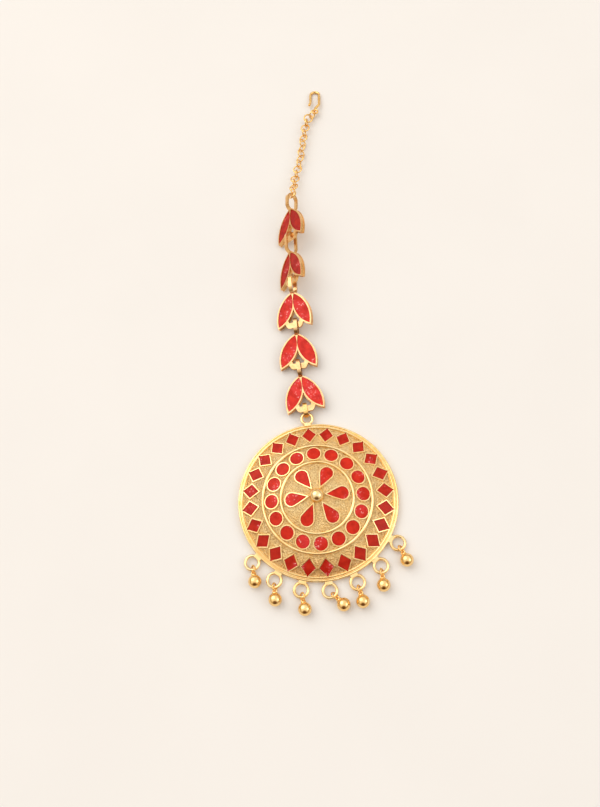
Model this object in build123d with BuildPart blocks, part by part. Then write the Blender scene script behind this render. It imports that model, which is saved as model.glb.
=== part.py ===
from build123d import *
import os
from math import atan2, cos, degrees, radians, sin, sqrt

# A maang tikka, laid flat: a domed pendant with ball drops, five double-leaf links, a round
# cable chain and a wire hook. Millimetres and degrees, +Z up, +Y from the pendant to the hook.
# The origin is under the middle of the whole piece's footprint, on the surface it lies on.

os.makedirs("parts", exist_ok=True)

# ---------------------------------------------------------------- driving dimensions

PENDANT_X = -1.6256  # where the pendant's centre lies, from the middle of the footprint
PENDANT_Y = -55.4446
PENDANT_TURN = 7.3  # the pendant has swung this far on its link

# pendant: radii of the turned profile, from the outer wall inwards
DISC_RADIUS = 22.0
LIP_CREST, LIP_INNER = 21.71, 21.42
RIM_OUTER, RIM_CREST, RIM_INNER = 21.2, 20.9, 20.6
RIM_SHOULDERS = ((21.15, 1.5), (20.65, 1.5))
RING_1_OUTER, RING_1_CREST, RING_1_INNER = 15.25, 14.9, 14.55
RING_2_OUTER, RING_2_CREST, RING_2_INNER = 10.15, 9.8, 9.45
BACK_INNER, BACK_OUTER, BACK_EDGE = 20.3, 21.9, 0.1
BACK_HOLLOW = ((9.45, 3.4), (15, 1.75))  # the hollow back, between its top and the flat rim
WALL_HEIGHT, LIP_TOP = 1.25, 1.54
RIM_TOP, RING_1_TOP, RING_2_TOP = 1.74, 3.95, 5.25
ZONE_1_LOW, ZONE_1_HIGH = 1.15, 3.3
ZONE_2_LOW, ZONE_2_HIGH = 3.3, 4.6
ZONE_1 = (RIM_INNER, ZONE_1_LOW, RING_1_OUTER, ZONE_1_HIGH)
ZONE_2 = (RING_1_INNER, ZONE_2_LOW, RING_2_OUTER, ZONE_2_HIGH)
DOME_LOW, DOME_TOP = 4.75, 6.75
SHELL_TOP = 5.5
CENTRE_BALL_RADIUS, CENTRE_BALL_HEIGHT = 1.95, 6.9

# cloisons: raised walls round the enamel, and the pockets that the enamel sits in
WALL = 0.28
WALL_RISE = 0.38
POCKET_DEPTH = 0.22
WALL_ROOT = 0.3
ENAMEL_BELOW_WALL = 0.12
ENAMEL_GAP = 0.03

DIAMONDS, DIAMOND_RADIUS = 24, 18.4
DIAMOND_HALF_LENGTH, DIAMOND_HALF_WIDTH = 2.45, 1.95
DOTS, DOT_RING_RADIUS, DOT_RADIUS, DOT_PHASE = 16, 12.35, 1.85, -2.9
PETALS, PETAL_TIP, PETAL_ROUND, PETAL_RADIUS, PETAL_SHOULDER = 6, 2.5, 6.85, 1.75, 110
PETAL_MIDDLE = (PETAL_TIP + PETAL_ROUND + PETAL_RADIUS) / 2

# ears and drops
EARS, EAR_STEP, EAR_CENTRE = 7, 17.9, 24.4
EAR_RADIUS, EAR_WIRE, EAR_HEIGHT = 1.85, 0.4, 1.0
TOP_RING_CENTRE, TOP_RING_RADIUS, TOP_RING_WIRE, TOP_RING_HEIGHT = 23.75, 1.55, 0.42, 1.4
NECK_ROOT, NECK_LAP, NECK_WIDTH = 0.5, 0.3, 1.1  # the width is a share of the ring's radius
DROP_RING_RADIUS, DROP_RING_WIRE, DROP_RING_OUT, DROP_RING_RISE = 1.1, 0.225, 1.86, 0.31
BALL_RADIUS = 1.8
BALL_CAP_RADIUS, BALL_CAP_HEIGHT, BALL_CAP_OUT = 0.75, 0.4, 1.6
BALL_EYE_RADIUS, BALL_EYE_WIRE, BALL_EYE_OUT = 0.55, 0.18, 2.12
DROP_HEADINGS = (-83.4, -82, -83.3, -39.4, -71.1, -80.9, -60)
DROP_LEANS = (-25, 20, -30, 31, 25, 22, 30)

# leaf links, in their own frame: u across, v towards the hook, w out of the face
LEAF_TOP, LEAF_TIP = (0.2, 0.0), (5.25, -10.8)
LEAF_OUTER_BULGE, LEAF_INNER_BULGE = 2.1, 2.5
TRAY_HALF_DEPTH = 0.65
FLANGE_OUT, FLANGE_THICKNESS = 0.12, 0.35
RIM_WIDTH = 0.36
TRAY_POCKET = 0.5
LEAF_ENAMEL_THICKNESS = 0.3
PLATE_OUTLINE = (
    (0, -9.45),
    (1.6, -9.45),
    (1.95, -8.6),
    (2.5, -8.35),
    (3.1, -9.2),
    (2.3, -10.7),
    (1.75, -11.1),
    (0, -11.1),
)
PLATE_LOW, PLATE_THICKNESS = -0.3, 0.9
LOOP_LENGTHS = (6.3, 7.6, 6.3, 5.7, 5.9)  # the second link's loop is pulled longer
LOOP_DEPTH, LOOP_STRIP, LOOP_WIDTH, LOOP_START = 4.1, 0.5, 1.1, -0.6

# where each leaf link lies: x and y of its top from the pendant's centre, height of its middle,
# heading, rise towards the hook, and how far its right side is raised
LEAF_LINKS = (
    (-7.75, 91.75, 4.7, 0, 0, 45),
    (-7.65, 76.2, 4.98, 2.5, 0, 50),
    (-7.0, 62.5, 4.7, 3, 10, 21),
    (-6.05, 49.9, 2.28, 4, 2.9, 5),
    (-4.85, 36.5, 2.1, 9.15, 1.2, 4),
)

# strip link between the pendant's top ring and the last leaf link
PENDANT_LINK_LENGTH, PENDANT_LINK_DEPTH, PENDANT_LINK_STRIP, PENDANT_LINK_WIDTH = 4.45, 3.0, 0.45, 1.2
PENDANT_LINK_START, PENDANT_LINK_HEIGHT, PENDANT_LINK_HEADING = 0.31, 1.8, 8.5

# chain, rings and hook
CHAIN_LINKS, CHAIN_RADIUS, CHAIN_WIRE = 16, 1.3, 0.215
CHAIN_ROUTE = (
    (-7.6, 97.35, 4.4),
    (-7.3, 100.6, 3.3),
    (-6.9, 105.6, 1.85),
    (-5.5, 112.5, 1.56),
    (-4.5, 120.0, 1.56),
    (-3.4, 127.5, 1.56),
)
CHAIN_LEANS = (45, 34, 22, 12, 5, 4, 9, 20, 34, 43, 43, 37, 27, 16, 8, 4)
JUMP_RING_RADIUS, JUMP_RING_WIRE, JUMP_RING_LEAN = 1.35, 0.25, 12
JUMP_RING_AT = (-2.75, 129.42, 1.56)
HOOK_LINK_RADIUS, HOOK_LINK_WIRE, HOOK_LINK_LEAN = 1.3, 0.25, 80
HOOK_LINK_AT = (-1.4, 130.95, 1.57)
EYE_RADIUS, EYE_WIRE = 0.85, 0.3
HOOK_EYE_AT = (-0.48, 132.12, 1.5)
HOOK_WIRE, HOOK_BEND, HOOK_DIP = 0.4, 1.45, 6.8
SHANK_OUT, SHANK_BOTTOM, BEND_CENTRE = 1.3, 3.2, 7.7
SHANK_CRANK, TIP_STRAIGHT_END, TIP_END, TIP_FLARE = (0.15, 1.6), 4.4, 3.2, 0.35
HOOK_FILLETS = (0.8, 1.2, 1.44, 1.44, 1.5)


# ---------------------------------------------------------------- places and directions


def from_pendant(x, y, z):
    """A point given from the pendant's centre, in the part's frame."""
    return Vector(PENDANT_X + x, PENDANT_Y + y, z)


def on_disc(radius, bearing, height, slope=0):
    """A plane on the pendant: x outwards down the slope, z out of the surface."""
    angle = radians(bearing + PENDANT_TURN)
    outward = Vector(cos(angle), sin(angle), 0)
    down = outward * cos(radians(slope)) - Vector(0, 0, sin(radians(slope)))
    normal = outward * sin(radians(slope)) + Vector(0, 0, cos(radians(slope)))
    place = from_pendant(radius * cos(angle), radius * sin(angle), height)
    return Plane(origin=place, x_dir=down, z_dir=normal)


def ring_plane(centre, along, lean):
    """A plane for a ring: x runs along, and lean tips its normal off the vertical about x."""
    flat = Vector(0, 0, 1) - along * (along.Z / along.length**2)
    normal = flat.normalized().rotate(Axis((0, 0, 0), along), lean)
    return Plane(origin=centre, x_dir=along, z_dir=normal)


def zone_height(radius, outer, low, inner, high):
    """Height of a sloping zone of the pendant at a radius."""
    return low + (outer - radius) * (high - low) / (outer - inner)


def zone_slope(outer, low, inner, high):
    """Slope of a zone of the pendant."""
    return degrees(atan2(high - low, outer - inner))


def dome_height(radius):
    """Height of the middle dome at a radius."""
    ball = (RING_2_INNER**2 + (DOME_TOP - DOME_LOW) ** 2) / (2 * (DOME_TOP - DOME_LOW))
    return DOME_TOP - ball + sqrt(ball**2 - radius**2)


def dome_slope(radius):
    """Slope of the middle dome at a radius."""
    step = 0.01
    return degrees(atan2(dome_height(radius - step) - dome_height(radius + step), 2 * step))


# ---------------------------------------------------------------- outlines of the cells


def diamond_outline(grow):
    """A diamond cell, its long diagonal down the slope, grown on all sides."""
    edge = sqrt(DIAMOND_HALF_LENGTH**2 + DIAMOND_HALF_WIDTH**2)
    length = DIAMOND_HALF_LENGTH + grow * edge / DIAMOND_HALF_WIDTH
    width = DIAMOND_HALF_WIDTH + grow * edge / DIAMOND_HALF_LENGTH
    Polygon((length, 0), (0, width), (-length, 0), (0, -width))


def dot_outline(grow):
    """A round cell, grown on all sides."""
    Circle(DOT_RADIUS + grow)


def petal_outline(grow):
    """A drop-shaped cell with its point towards the pendant's middle, grown on all sides."""
    centre = (PETAL_ROUND - PETAL_MIDDLE, 0)
    point = (PETAL_TIP - PETAL_MIDDLE, 0)
    with BuildLine() as outline:
        end = CenterArc(centre, PETAL_RADIUS, -PETAL_SHOULDER, 2 * PETAL_SHOULDER)
        TangentArc(end @ 1, point, tangent=end % 1)
        TangentArc(end @ 0, point, tangent=-(end % 0))
    make_face(outline.edges())
    if grow:
        offset(amount=grow, kind=Kind.INTERSECTION)


def diamond_planes():
    """The places of the diamonds, the first one under the top ring."""
    height = zone_height(DIAMOND_RADIUS, *ZONE_1)
    slope = zone_slope(*ZONE_1)
    step = 360 / DIAMONDS
    return [on_disc(DIAMOND_RADIUS, 90 + step * i, height, slope) for i in range(DIAMONDS)]


def dot_planes():
    """The places of the round cells."""
    height = zone_height(DOT_RING_RADIUS, *ZONE_2)
    slope = zone_slope(*ZONE_2)
    step = 360 / DOTS
    first = 90 + DOT_PHASE
    return [on_disc(DOT_RING_RADIUS, first + step * i, height, slope) for i in range(DOTS)]


def petal_planes():
    """The places of the petals, about the middles of their outlines."""
    step = 360 / PETALS
    height = dome_height(PETAL_MIDDLE)
    slope = dome_slope(PETAL_MIDDLE)
    return [on_disc(PETAL_MIDDLE, 60 + step * i, height, slope) for i in range(PETALS)]


CELLS = ((diamond_planes(), diamond_outline), (dot_planes(), dot_outline), (petal_planes(), petal_outline))


# ---------------------------------------------------------------- pendant


def disc_profile():
    """Half section of the disc: a flat back rim, two sloping zones between crests, and a dome."""
    with BuildLine() as profile:
        Polyline((0, SHELL_TOP), *BACK_HOLLOW, (BACK_INNER, 0), (BACK_OUTER, 0))
        Polyline((BACK_OUTER, 0), (DISC_RADIUS, BACK_EDGE), (DISC_RADIUS, WALL_HEIGHT))
        ThreePointArc((DISC_RADIUS, WALL_HEIGHT), (LIP_CREST, LIP_TOP), (LIP_INNER, WALL_HEIGHT))
        Polyline((LIP_INNER, WALL_HEIGHT), (RIM_OUTER, WALL_HEIGHT), RIM_SHOULDERS[0])
        ThreePointArc(RIM_SHOULDERS[0], (RIM_CREST, RIM_TOP), RIM_SHOULDERS[1])
        Line(RIM_SHOULDERS[1], (RIM_INNER, ZONE_1_LOW))
        Line((RIM_INNER, ZONE_1_LOW), (RING_1_OUTER, ZONE_1_HIGH))
        ThreePointArc((RING_1_OUTER, ZONE_1_HIGH), (RING_1_CREST, RING_1_TOP), (RING_1_INNER, ZONE_2_LOW))
        Line((RING_1_INNER, ZONE_2_LOW), (RING_2_OUTER, ZONE_2_HIGH))
        ThreePointArc((RING_2_OUTER, ZONE_2_HIGH), (RING_2_CREST, RING_2_TOP), (RING_2_INNER, DOME_LOW))
        halfway = RING_2_INNER / 2
        ThreePointArc((RING_2_INNER, DOME_LOW), (halfway, dome_height(halfway)), (0, DOME_TOP))
        Line((0, DOME_TOP), (0, SHELL_TOP))
    make_face(profile.edges())


def build_pendant():
    """The disc with its cloisons, centre ball, top ring and ears, cast in one."""
    centre = from_pendant(0, 0, 0)
    with BuildPart() as pendant:
        with BuildSketch(Plane(origin=centre, x_dir=(1, 0, 0), z_dir=(0, -1, 0))):
            disc_profile()
        revolve(axis=Axis(centre, (0, 0, 1)))
        for planes, outline in CELLS:
            for plane in planes:
                with BuildSketch(plane.offset(-WALL_ROOT)):
                    outline(WALL)
                extrude(amount=WALL_ROOT + WALL_RISE)
        for planes, outline in CELLS:
            for plane in planes:
                with BuildSketch(plane.offset(-POCKET_DEPTH)):
                    outline(0)
                extrude(amount=POCKET_DEPTH + 2 * WALL_RISE, mode=Mode.SUBTRACT)
        with Locations(from_pendant(0, 0, CENTRE_BALL_HEIGHT)):
            Sphere(CENTRE_BALL_RADIUS)
        add_ring(90, TOP_RING_CENTRE, TOP_RING_RADIUS, TOP_RING_WIRE, TOP_RING_HEIGHT)
        for bearing in ear_bearings():
            add_ring(bearing, EAR_CENTRE, EAR_RADIUS, EAR_WIRE, EAR_HEIGHT)
    return pendant


def add_ring(bearing, distance, radius, wire, height):
    """A ring in the disc's plane, with a short neck that joins it to the disc's wall."""
    plane = on_disc(distance, bearing, height)
    with Locations(plane.location):
        Torus(radius, wire)
    inner_end = DISC_RADIUS - NECK_ROOT
    outer_end = distance - radius + NECK_LAP
    with BuildSketch(on_disc((inner_end + outer_end) / 2, bearing, height - wire)) as neck:
        Rectangle(outer_end - inner_end, NECK_WIDTH * radius)
    extrude(neck.sketch, amount=2 * wire)


def ear_bearings():
    """Bearings of the seven ears, with the middle one opposite the top ring."""
    return [-90 + EAR_STEP * (i - (EARS - 1) / 2) for i in range(EARS)]


# ---------------------------------------------------------------- enamel of the pendant


def enamel_block(plane, outline):
    """Enamel that fills one pocket, from its floor to just under its wall."""
    with BuildSketch(plane.offset(-POCKET_DEPTH)) as cell:
        outline(-ENAMEL_GAP)
    extrude(cell.sketch, amount=POCKET_DEPTH + WALL_RISE - ENAMEL_BELOW_WALL)


def build_enamel(planes, outline):
    """The enamel of one kind of cell."""
    with BuildPart() as enamel:
        for plane in planes:
            enamel_block(plane, outline)
    return enamel


# ---------------------------------------------------------------- drops


def drop_frame(index):
    """The ear's place, and the drop's directions: along it, and up in the leaning ring's plane."""
    ear = on_disc(EAR_CENTRE, ear_bearings()[index], EAR_HEIGHT).origin
    heading = radians(DROP_HEADINGS[index])
    along = Vector(cos(heading), sin(heading), 0)
    up = Vector(0, 0, 1).rotate(Axis((0, 0, 0), along), DROP_LEANS[index])
    return ear, along, up


def drop_places(index):
    """The ring's centre, the ball's eye and the ball's centre, with the ball on the surface."""
    ear, along, up = drop_frame(index)
    ring = ear + along * DROP_RING_OUT + up * DROP_RING_RISE
    reach = DROP_RING_RADIUS + BALL_EYE_OUT
    rise = (BALL_RADIUS - ring.Z) / (reach * up.Z)
    outward = along * sqrt(1 - rise**2) + up * rise
    eye = ring + outward * DROP_RING_RADIUS
    ball = ring + outward * reach
    return ring, eye, ball, outward


def build_drop_ring(index):
    """The jump ring through an ear."""
    ear, along, up = drop_frame(index)
    ring = drop_places(index)[0]
    with BuildPart(Plane(origin=ring, x_dir=along, z_dir=along.cross(up))) as drop_ring:
        Torus(DROP_RING_RADIUS, DROP_RING_WIRE)
    return drop_ring


def build_drop_ball(index):
    """A ball with a cap and an eye that its ring passes through."""
    up = drop_frame(index)[2]
    ring, eye, ball, outward = drop_places(index)
    side = outward.cross(up).normalized()
    with BuildPart() as drop_ball:
        with Locations(ball):
            Sphere(BALL_RADIUS)
        with Locations(Plane(origin=ball, x_dir=side, z_dir=-outward).offset(BALL_CAP_OUT).location):
            Cylinder(BALL_CAP_RADIUS, BALL_CAP_HEIGHT)
        with Locations(Plane(origin=eye, x_dir=side, z_dir=side.cross(outward)).location):
            Torus(BALL_EYE_RADIUS, BALL_EYE_WIRE)
    return drop_ball


# ---------------------------------------------------------------- leaf links


def leaf_plane(index):
    """The frame of a leaf link, at the middle of its depth under the top of its leaves."""
    x, y, height, heading, rise, lean = LEAF_LINKS[index]
    across = Vector(1, 0, 0).rotate(Axis.Z, heading)
    along = Vector(0, 1, 0).rotate(Axis.X, rise).rotate(Axis.Z, heading)
    across = across.rotate(Axis((0, 0, 0), along), -lean)
    return Plane(origin=from_pendant(x, y, height), x_dir=across, z_dir=across.cross(along))


def bulge_point(start, end, bulge):
    """The point beside the middle of a chord that an arc passes through."""
    chord = Vector(*end) - Vector(*start)
    left = Vector(-chord.Y, chord.X).normalized()
    return (Vector(*start) + Vector(*end)) * 0.5 + left * bulge


def leaf_outline(side, grow):
    """One leaf between two arcs, on the right (side 1) or the left (side -1)."""
    top = (side * LEAF_TOP[0], LEAF_TOP[1])
    tip = (side * LEAF_TIP[0], LEAF_TIP[1])
    with BuildLine() as outline:
        ThreePointArc(top, bulge_point(top, tip, side * LEAF_OUTER_BULGE), tip)
        ThreePointArc(tip, bulge_point(top, tip, -side * LEAF_INNER_BULGE), top)
    make_face(outline.edges())
    if grow:
        offset(amount=grow, kind=Kind.INTERSECTION)


def build_leaf_link(plane, loop_length):
    """Two trays that share a wall, with a plate between them and a loop at the top."""
    with BuildPart() as leaf_link:
        with BuildSketch(plane.offset(-TRAY_HALF_DEPTH)):
            leaf_outline(1, 0)
            leaf_outline(-1, 0)
        extrude(amount=2 * TRAY_HALF_DEPTH)
        for side in (1, -1):
            with BuildSketch(plane.offset(-TRAY_HALF_DEPTH)):
                leaf_outline(side, FLANGE_OUT)
            extrude(amount=FLANGE_THICKNESS)
        with BuildSketch(plane.offset(PLATE_LOW)):
            with BuildLine():
                half = Polyline(*PLATE_OUTLINE)
                mirror(half, about=Plane.YZ)
            make_face()
        extrude(amount=PLATE_THICKNESS)
        add_loop(plane, loop_length)
        for side in (1, -1):
            with BuildSketch(plane.offset(TRAY_HALF_DEPTH - TRAY_POCKET)):
                leaf_outline(side, -RIM_WIDTH)
            extrude(amount=2 * TRAY_POCKET, mode=Mode.SUBTRACT)
    return leaf_link


def add_loop(plane, length):
    """The strip loop at a link's top, square to its face."""
    middle = LOOP_START + length / 2
    across, along = plane.x_dir, plane.y_dir
    place = plane.origin + along * middle
    with BuildSketch(Plane(origin=place, x_dir=along, z_dir=across)) as side:
        SlotOverall(length, LOOP_DEPTH)
        SlotOverall(length - 2 * LOOP_STRIP, LOOP_DEPTH - 2 * LOOP_STRIP, mode=Mode.SUBTRACT)
    extrude(side.sketch, amount=LOOP_WIDTH / 2, both=True)


def build_leaf_enamel(plane):
    """The enamel in a link's two trays."""
    with BuildPart() as enamel:
        for side in (1, -1):
            with BuildSketch(plane.offset(TRAY_HALF_DEPTH - TRAY_POCKET)):
                leaf_outline(side, -RIM_WIDTH - ENAMEL_GAP)
            extrude(amount=LEAF_ENAMEL_THICKNESS)
    return enamel


def build_pendant_link():
    """The strip link that joins the pendant's top ring to the last leaf link."""
    ring = on_disc(TOP_RING_CENTRE, 90, 0).origin
    along = Vector(0, 1, 0).rotate(Axis.Z, PENDANT_LINK_HEADING)
    middle = PENDANT_LINK_START + PENDANT_LINK_LENGTH / 2
    place = ring + along * middle + Vector(0, 0, PENDANT_LINK_HEIGHT)
    hole = 2 * PENDANT_LINK_STRIP
    with BuildPart() as link:
        with BuildSketch(Plane(origin=place, x_dir=along, z_dir=along.cross(Vector(0, 0, 1)))):
            SlotOverall(PENDANT_LINK_LENGTH, PENDANT_LINK_DEPTH)
            SlotOverall(PENDANT_LINK_LENGTH - hole, PENDANT_LINK_DEPTH - hole, mode=Mode.SUBTRACT)
        extrude(amount=PENDANT_LINK_WIDTH / 2, both=True)
    return link


# ---------------------------------------------------------------- chain, rings and hook


def build_chain():
    """Round links, each a quarter turn from the next, along a route that slowly twists."""
    route = Spline(*[from_pendant(*point) for point in CHAIN_ROUTE])
    with BuildPart() as chain:
        for i in range(CHAIN_LINKS):
            share = i / (CHAIN_LINKS - 1)
            lean = 90 * (i % 2) - CHAIN_LEANS[i]
            with Locations(ring_plane(route @ share, route % share, lean).location):
                Torus(CHAIN_RADIUS, CHAIN_WIRE)
    return chain


def build_ring(place, target, radius, wire, lean):
    """A plain round ring whose x axis points at the next piece."""
    centre = from_pendant(*place)
    along = (from_pendant(*target) - centre).normalized()
    with BuildPart(ring_plane(centre, along, lean)) as ring:
        Torus(radius, wire)
    return ring


def build_hook():
    """A wire J with an eye, resting on its bend with the eye a little raised."""
    eye = from_pendant(*HOOK_EYE_AT)
    plane = Plane(origin=eye, x_dir=(1, 0, 0), z_dir=Vector(0, 0, 1).rotate(Axis.X, -HOOK_DIP))
    tip_x = SHANK_OUT - 2 * HOOK_BEND
    top = BEND_CENTRE + HOOK_BEND
    route = (
        (0, EYE_RADIUS),
        SHANK_CRANK,
        (SHANK_OUT, SHANK_BOTTOM),
        (SHANK_OUT, top),
        (tip_x, top),
        (tip_x, TIP_STRAIGHT_END),
        (tip_x - TIP_FLARE, TIP_END),
    )
    with BuildPart() as hook:
        with BuildLine(plane) as wire:
            FilletPolyline(*route, radius=HOOK_FILLETS)
        path = wire.wire()
        with BuildSketch(Plane(origin=path @ 0, z_dir=path % 0)):
            Circle(HOOK_WIRE)
        sweep(path=path)
        with Locations(path @ 1):
            Sphere(HOOK_WIRE)
        with Locations(plane.location):
            Torus(EYE_RADIUS, EYE_WIRE)
    return hook


# ---------------------------------------------------------------- build and write the pieces


def write(name, piece):
    """Label a piece and write it to its own file."""
    piece.part.label = name
    export_step(piece.part, f"parts/{name}.step")


write("pendant", build_pendant())
write("diamond_enamel", build_enamel(diamond_planes(), diamond_outline))
write("dot_enamel", build_enamel(dot_planes(), dot_outline))
for i in range(PETALS):
    write(f"petal_enamel_{i + 1}", build_enamel(petal_planes()[i : i + 1], petal_outline))
for i in range(EARS):
    write(f"drop_ring_{i + 1}", build_drop_ring(i))
    write(f"drop_ball_{i + 1}", build_drop_ball(i))
for i in range(len(LEAF_LINKS)):
    write(f"leaf_link_{i + 1}", build_leaf_link(leaf_plane(i), LOOP_LENGTHS[i]))
    write(f"leaf_enamel_{i + 1}", build_leaf_enamel(leaf_plane(i)))
write("pendant_link", build_pendant_link())
write("chain", build_chain())
jump_ring = (JUMP_RING_RADIUS, JUMP_RING_WIRE, JUMP_RING_LEAN)
hook_link = (HOOK_LINK_RADIUS, HOOK_LINK_WIRE, HOOK_LINK_LEAN)
write("jump_ring", build_ring(JUMP_RING_AT, HOOK_LINK_AT, *jump_ring))
write("hook_link", build_ring(HOOK_LINK_AT, HOOK_EYE_AT, *hook_link))
write("hook", build_hook())
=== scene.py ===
import bpy
from mathutils import Matrix, Vector


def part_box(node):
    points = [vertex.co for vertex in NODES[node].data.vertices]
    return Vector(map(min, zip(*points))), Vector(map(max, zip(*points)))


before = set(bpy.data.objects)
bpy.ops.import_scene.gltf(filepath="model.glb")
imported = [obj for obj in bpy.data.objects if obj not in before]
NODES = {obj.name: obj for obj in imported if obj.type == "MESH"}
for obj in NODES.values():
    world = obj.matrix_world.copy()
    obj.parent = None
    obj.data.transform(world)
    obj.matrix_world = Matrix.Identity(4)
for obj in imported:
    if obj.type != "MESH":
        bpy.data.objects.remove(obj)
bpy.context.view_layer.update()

MM = 0.001


def middle(name):
    """The middle of a CAD node's box."""
    low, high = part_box(name)
    return (low + high) / 2


PENDANT = middle("dot_enamel")  # the round cells are spread evenly about the pendant's centre

# ---------------------------------------------------------------- camera

CAMERA_PLACE = Vector((10.36, -47.61, 205.24)) * MM  # from the pendant's centre
CAMERA_RIGHT = Vector((0.9973, 0.0049, -0.0734))
CAMERA_UP = Vector((0.0210, 0.9374, 0.3475))
SENSOR_WIDTH, LENS = 36, 45.6  # mm
NEAREST_SEEN = 10 * MM


def add_camera():
    """The camera over the pendant, tipped a little towards the hook."""
    data = bpy.data.cameras.new("camera")
    data.sensor_fit = "HORIZONTAL"
    data.sensor_width = SENSOR_WIDTH
    data.lens = LENS
    data.clip_start = NEAREST_SEEN
    camera = bpy.data.objects.new("camera", data)
    bpy.context.scene.collection.objects.link(camera)
    back = CAMERA_RIGHT.cross(CAMERA_UP).normalized()
    right = CAMERA_UP.cross(back).normalized()
    up = back.cross(right)
    turn = Matrix((right, up, back)).transposed().to_4x4()
    place = Vector((PENDANT.x, PENDANT.y, 0)) + CAMERA_PLACE
    camera.matrix_world = Matrix.Translation(place) @ turn
    bpy.context.scene.camera = camera


add_camera()

# ---------------------------------------------------------------- shader helpers

BEVEL_SAMPLES = 6


class Shader:
    """A node tree with short calls for the nodes used here."""

    def __init__(self, name):
        self.material = bpy.data.materials.new(name)
        self.material.use_nodes = True
        self.tree = self.material.node_tree
        self.bsdf = self.tree.nodes["Principled BSDF"]
        coordinates = self.tree.nodes.new("ShaderNodeTexCoord")
        self.point = self.vector("SCALE", coordinates.outputs["Object"], scale=1 / MM)

    def link(self, value, socket):
        """Connects an output, or sets a plain value."""
        if isinstance(value, bpy.types.NodeSocket):
            self.tree.links.new(value, socket)
        else:
            socket.default_value = value

    def math(self, operation, a, b=0.0):
        node = self.tree.nodes.new("ShaderNodeMath")
        node.operation = operation
        self.link(a, node.inputs[0])
        self.link(b, node.inputs[1])
        return node.outputs[0]

    def vector(self, operation, a, b=None, scale=None):
        node = self.tree.nodes.new("ShaderNodeVectorMath")
        node.operation = operation
        self.link(a, node.inputs[0])
        if b is not None:
            self.link(b, node.inputs[1])
        if scale is not None:
            self.link(scale, node.inputs["Scale"])
        return node.outputs["Vector"]

    def split(self, value):
        node = self.tree.nodes.new("ShaderNodeSeparateXYZ")
        self.link(value, node.inputs[0])
        return node.outputs

    def noise(self, scale, detail=3.0, roughness=0.55):
        node = self.tree.nodes.new("ShaderNodeTexNoise")
        node.inputs["Scale"].default_value = scale
        node.inputs["Detail"].default_value = detail
        node.inputs["Roughness"].default_value = roughness
        self.link(self.point, node.inputs["Vector"])
        return node.outputs["Fac"]

    def voronoi(self, scale, output="Distance"):
        node = self.tree.nodes.new("ShaderNodeTexVoronoi")
        node.inputs["Scale"].default_value = scale
        self.link(self.point, node.inputs["Vector"])
        return node.outputs[output]

    def ramp(self, value, *stops, smooth=False):
        """A ramp between (place, number or colour) stops."""
        node = self.tree.nodes.new("ShaderNodeValToRGB")
        node.color_ramp.interpolation = "EASE" if smooth else "LINEAR"
        elements = node.color_ramp.elements
        while len(elements) < len(stops):
            elements.new(0.5)
        for element, (place, level) in zip(elements, stops):
            element.position = place
            colour = level if isinstance(level, tuple) else (level, level, level)
            element.color = (*colour, 1)
        self.link(value, node.inputs[0])
        return node.outputs[0]

    def mix(self, share, a, b):
        """Goes from colour a to colour b by a share."""
        node = self.tree.nodes.new("ShaderNodeMix")
        node.data_type = "RGBA"
        self.link(share, node.inputs[0])
        self.link((*a, 1) if isinstance(a, tuple) else a, node.inputs[6])
        self.link((*b, 1) if isinstance(b, tuple) else b, node.inputs[7])
        return node.outputs[2]

    def rounded(self, radius_mm):
        """Normals that round the edges off."""
        node = self.tree.nodes.new("ShaderNodeBevel")
        node.samples = BEVEL_SAMPLES
        node.inputs["Radius"].default_value = radius_mm * MM
        return node.outputs["Normal"]

    def bump(self, height, distance_mm, strength=1.0, normal=None):
        node = self.tree.nodes.new("ShaderNodeBump")
        node.inputs["Distance"].default_value = distance_mm * MM
        node.inputs["Strength"].default_value = strength
        self.link(height, node.inputs["Height"])
        if normal is not None:
            self.link(normal, node.inputs["Normal"])
        return node.outputs["Normal"]

    def finish(self, **values):
        """Sets the shader's sockets and returns the material."""
        for name, value in values.items():
            socket = self.bsdf.inputs[name.replace("_", " ")]
            if isinstance(value, tuple):
                value = (*value, 1)
            self.link(value, socket)
        return self.material


# ---------------------------------------------------------------- gold

GOLD_LIGHT = (1.0, 0.78, 0.42)
GOLD_DEEP = (0.98, 0.65, 0.26)
GOLD_SHADE = (0.55, 0.28, 0.075)
# painted dark reflection: the brown that the ground is painted towards the drops
PAINTED_REFLECTION_BROWN = (0.5, 0.22, 0.055)

EDGE_ROUNDING = 0.13  # mm
GROUND_REACH = 25.0  # mm from the pendant's centre at place 1 of GROUND
GROUND_RISE = 10.0  # mm above the floor at level 1 of GROUND
GROUND = (
    (0.0, 0.675), (0.12, 0.655), (0.24, 0.595), (0.378, 0.475),
    (0.406, 0.46), (0.582, 0.33), (0.61, 0.33), (0.824, 0.115), (0.86, 0.06),
)
STIPPLED_REACH = 20.5  # mm from the centre, just inside the outer rim
DROPS_SIDE = -22.0  # mm, the y of the disc's edge among the drops


def wire_gold(name, roughness, light, deep):
    """Gilded wire: bright, with faint drawing marks and slight wear."""
    s = Shader(name)
    cloud = s.noise(0.7)
    fine = s.noise(6.0, 2.0)
    colour = s.mix(s.ramp(cloud, (0.35, 0.0), (0.7, 1.0)), light, deep)
    rough = s.ramp(fine, (0.3, roughness * 0.8), (0.75, roughness * 1.5))
    normal = s.bump(fine, 0.02, 0.4)
    return s.finish(Base_Color=colour, Metallic=1.0, Roughness=rough, Normal=normal)


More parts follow.
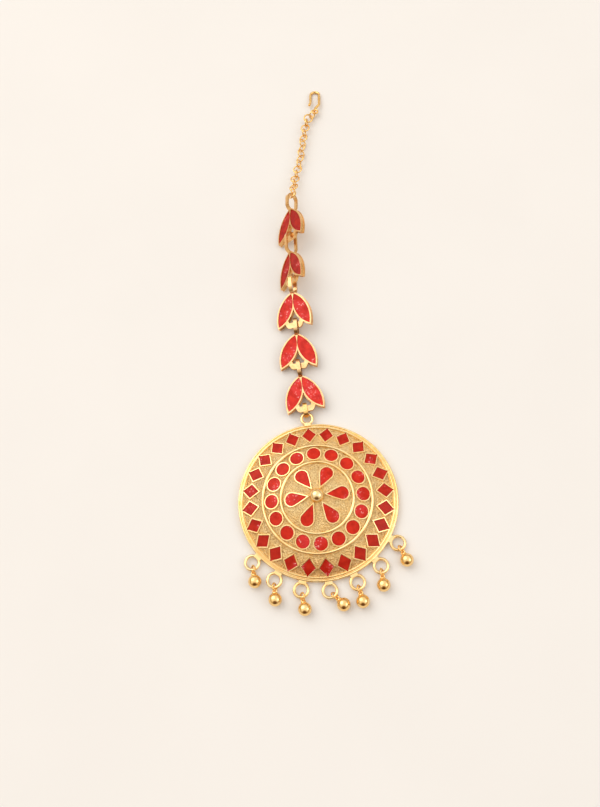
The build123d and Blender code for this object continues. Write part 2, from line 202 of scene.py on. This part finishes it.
def pendant_gold():
    """Cast gold: polished crests and cell walls over a stippled ground, with painted shade in
    patches and low pits, and a painted dark reflection browning the ground towards the drops.
    """
    s = Shader("pendant_gold")
    offset = s.vector("SUBTRACT", s.point, tuple(c / MM for c in (PENDANT.x, PENDANT.y, 0)))
    x, y, z = s.split(offset)
    radius = s.math("POWER", s.math("ADD", s.math("MULTIPLY", x, x), s.math("MULTIPLY", y, y)), 0.5)
    ground = s.ramp(s.math("DIVIDE", radius, GROUND_REACH), *GROUND)
    above = s.math("SUBTRACT", z, s.math("MULTIPLY", ground, GROUND_RISE))
    # 1 on the ground, and 0 from a quarter of a millimetre above it
    low = s.ramp(above, (0.05, 1.0), (0.25, 0.0), smooth=True)
    inside = s.math("LESS_THAN", radius, STIPPLED_REACH)
    stippled = s.math("MULTIPLY", low, inside)
    grain = s.voronoi(2.0)
    pits = s.noise(3.2, 4.0, 0.75)
    height = s.math("MULTIPLY", s.math("ADD", s.math("MULTIPLY", grain, -0.8), pits), stippled)
    rough_ground = s.bump(height, 0.36, 1.0, s.rounded(EDGE_ROUNDING))
    normal = s.bump(s.noise(1.3, 2.0), 0.06, 0.35, rough_ground)
    cloud = s.noise(0.35, 3.0)
    bright = s.mix(s.ramp(cloud, (0.35, 0.0), (0.7, 1.0)), GOLD_LIGHT, GOLD_DEEP)
    # painted shade: darker gold in the ground's low pits
    painted_pit_shade = s.mix(s.ramp(pits, (0.36, 0.0), (0.51, 1.0)), GOLD_SHADE, GOLD_LIGHT)
    # painted shade in patches, standing in for the ground's shaded facets
    painted_shade_patches = s.ramp(s.noise(0.5, 2.0), (0.4, 0.3), (0.6, 0.95))
    colour = s.mix(s.math("MULTIPLY", stippled, painted_shade_patches), bright, painted_pit_shade)
    # painted dark reflection: the stippled ground turns brown towards the drops' edge
    painted_reflection_towards_drops = s.ramp(s.math("DIVIDE", y, DROPS_SIDE), (0.66, 0.0), (0.85, 0.4), smooth=True)
    colour = s.mix(s.math("MULTIPLY", stippled, painted_reflection_towards_drops), colour, PAINTED_REFLECTION_BROWN)
    rough = s.math("ADD", 0.2, s.math("MULTIPLY", stippled, 0.08))
    return s.finish(Base_Color=colour, Metallic=1.0, Roughness=rough, Normal=normal)


# ---------------------------------------------------------------- enamel


def enamel(name, light, deep, glint_colour, share, patch=0.28):
    """Poured enamel with a soft gloss; in a share of the places, pale flakes and a pinkish haze are
    painted in as glints and sheen.
    """
    s = Shader(name)
    cloud = s.noise(0.5, 2.0)
    colour = s.mix(s.ramp(cloud, (0.35, 0.0), (0.65, 1.0)), deep, light)
    glint_places = s.ramp(s.noise(patch, 1.0), (0.6 - share, 0.0), (0.75 - share, 1.0), smooth=True)
    cell = s.split(s.voronoi(3.0, output="Color"))
    # painted glints: pale flakes in the base colour, with a painted pinkish sheen over the same
    # places
    painted_flake_glints = s.math("MULTIPLY", s.ramp(cell[0], (0.86, 0.0), (0.95, 1.0)), glint_places)
    painted_sheen = s.mix(s.math("MULTIPLY", glint_places, 0.3), colour, (0.85, 0.07, 0.09))
    glint = s.mix(s.math("MULTIPLY", painted_flake_glints, 0.6), painted_sheen, glint_colour)
    normal = s.bump(s.noise(1.1, 1.0), 0.05, 0.5)
    return s.finish(
        Base_Color=glint, Metallic=0.0, Roughness=0.2, Normal=normal, Specular_IOR_Level=0.12
    )


PENDANT_GOLD = pendant_gold()
WIRE_GOLD = wire_gold("wire_gold", 0.18, (0.97, 0.67, 0.28), (0.87, 0.5, 0.15))
BALL_GOLD = wire_gold("ball_gold", 0.09, (0.98, 0.7, 0.32), (0.92, 0.58, 0.21))
LEANING_GOLD = wire_gold("leaning_leaf_gold", 0.24, (0.88, 0.57, 0.26), (0.8, 0.45, 0.17))
# a darker copy of the leaning leaves' gold for links 3 to 5: painted shade that offsets the key
# light they face
SHADED_LEAF_GOLD = wire_gold("leaf_gold", 0.24, (0.76, 0.49, 0.25), (0.64, 0.37, 0.16))
# the colour of the painted glints in the enamel
GLINT_PAINT_COLOUR = (1.0, 0.6, 0.56)
RED = enamel("red_enamel", (0.66, 0.028, 0.011), (0.5, 0.017, 0.006), GLINT_PAINT_COLOUR, 0.08, 0.1)
DEEP_RED = enamel("deep_red_enamel", (0.53, 0.024, 0.01), (0.4, 0.014, 0.005), GLINT_PAINT_COLOUR, 0.02)
PAINTED_GLINT_ENAMEL = enamel("glitter_enamel", (0.74, 0.034, 0.018), (0.56, 0.018, 0.01), GLINT_PAINT_COLOUR, 0.14)
# a darker copy of the leaf enamel for leaves 1 and 2: painted shade
DEEP_PAINTED_GLINT_ENAMEL = enamel("deep_painted_glint_enamel", (0.5, 0.022, 0.01), (0.36, 0.01, 0.006), GLINT_PAINT_COLOUR, 0.04)


def dress(node, material):
    """Gives a CAD node its material."""
    mesh = NODES[node].data
    mesh.materials.clear()
    mesh.materials.append(material)


for name in NODES:
    # leaves 1 and 2 get the painted-shade copy of the leaf enamel
    if name in ("leaf_enamel_1", "leaf_enamel_2"):
        dress(name, DEEP_PAINTED_GLINT_ENAMEL)
    elif "leaf_enamel" in name:
        dress(name, PAINTED_GLINT_ENAMEL)
    elif name == "diamond_enamel":
        dress(name, DEEP_RED)
    elif "enamel" in name:
        dress(name, RED)
    elif "drop_ball" in name:
        dress(name, BALL_GOLD)
    elif name in ("leaf_link_1", "leaf_link_2"):
        dress(name, LEANING_GOLD)
    # leaf links 3 to 5 get the painted-shade copy of the leaf gold
    elif "leaf_link" in name:
        dress(name, SHADED_LEAF_GOLD)
    elif name == "pendant":
        dress(name, PENDANT_GOLD)
    else:
        dress(name, WIRE_GOLD)

# ---------------------------------------------------------------- floor and light

FLOOR_HALF = 1.5  # m
FLOOR_DROP = 0.02 * MM  # keeps the floor just clear of the piece's back
BACKDROP = (0.86, 0.84, 0.82, 1)  # what the camera sees past the floor
WORLD_STRENGTH = 1.1
DARK_SPOT = (0.0, -0.86, 0.51)  # the direction that the dark spot lies in
WORLD_BY_HEIGHT = (
    (0.0, (0.46, 0.35, 0.24)), (0.28, (0.56, 0.45, 0.33)),
    (0.6, (0.98, 0.95, 0.9)), (1.0, (1.0, 0.98, 0.95)),
)
WORLD_BY_SPOT = (
    (0.74, (1.0, 1.0, 1.0)), (0.85, (0.6, 0.52, 0.42)),
    (0.91, (0.24, 0.15, 0.09)), (1.0, (0.15, 0.09, 0.05)),
)


def add_floor():
    """A plain pale floor just under the piece."""
    mesh = bpy.data.meshes.new("floor")
    half = FLOOR_HALF
    corners = [(-half, -half, 0), (half, -half, 0), (half, half, 0), (-half, half, 0)]
    mesh.from_pydata(corners, [], [(0, 1, 2, 3)])
    floor = bpy.data.objects.new("floor", mesh)
    bpy.context.scene.collection.objects.link(floor)
    floor.location.z = -FLOOR_DROP
    s = Shader("floor")
    tone = s.mix(s.noise(0.02), (0.85, 0.83, 0.81), (0.81, 0.79, 0.77))
    mesh.materials.append(s.finish(Base_Color=tone, Roughness=0.7, Specular_IOR_Level=0.2))


def add_light(name, place, size, power, colour=(1, 1, 1)):
    """A round soft light that faces the middle of the piece."""
    data = bpy.data.lights.new(name, "AREA")
    data.shape = "DISK"
    data.size = size
    data.energy = power
    data.color = colour
    light = bpy.data.objects.new(name, data)
    bpy.context.scene.collection.objects.link(light)
    light.location = place
    light.rotation_euler = Vector(place).to_track_quat("Z", "Y").to_euler()


def add_world():
    """Soft light from above, browner near the horizon, with one dark spot over the drops."""
    world = bpy.data.worlds.new("world")
    bpy.context.scene.world = world
    world.use_nodes = True
    tree = world.node_tree
    background = tree.nodes["Background"]
    coordinates = tree.nodes.new("ShaderNodeTexCoord")

    def ramp(direction, stops):
        """A ramp over how far the ray points towards a direction."""
        towards = tree.nodes.new("ShaderNodeVectorMath")
        towards.operation = "DOT_PRODUCT"
        tree.links.new(coordinates.outputs["Generated"], towards.inputs[0])
        towards.inputs[1].default_value = direction
        node = tree.nodes.new("ShaderNodeValToRGB")
        while len(node.color_ramp.elements) < len(stops):
            node.color_ramp.elements.new(0.5)
        for element, (place, colour) in zip(node.color_ramp.elements, stops):
            element.position = place
            element.color = (*colour, 1)
        tree.links.new(towards.outputs["Value"], node.inputs[0])
        return node.outputs[0]

    height = ramp((0, 0, 1), WORLD_BY_HEIGHT)
    spot = ramp(DARK_SPOT, WORLD_BY_SPOT)
    both = tree.nodes.new("ShaderNodeMix")
    both.data_type = "RGBA"
    both.blend_type = "MULTIPLY"
    both.inputs[0].default_value = 1
    tree.links.new(height, both.inputs[6])
    tree.links.new(spot, both.inputs[7])
    path = tree.nodes.new("ShaderNodeLightPath")
    seen = tree.nodes.new("ShaderNodeMix")
    seen.data_type = "RGBA"
    tree.links.new(path.outputs["Is Camera Ray"], seen.inputs[0])
    tree.links.new(both.outputs[2], seen.inputs[6])
    seen.inputs[7].default_value = BACKDROP
    tree.links.new(seen.outputs[2], background.inputs[0])
    background.inputs[1].default_value = WORLD_STRENGTH


add_floor()
add_light("key", (-0.7, 0.5, 1.0), 1.3, 6.25, (1.0, 0.97, 0.92))
add_light("fill", (0.8, -0.1, 0.6), 0.6, 1.2)
add_world()
bpy.context.scene.view_settings.view_transform = "Standard"
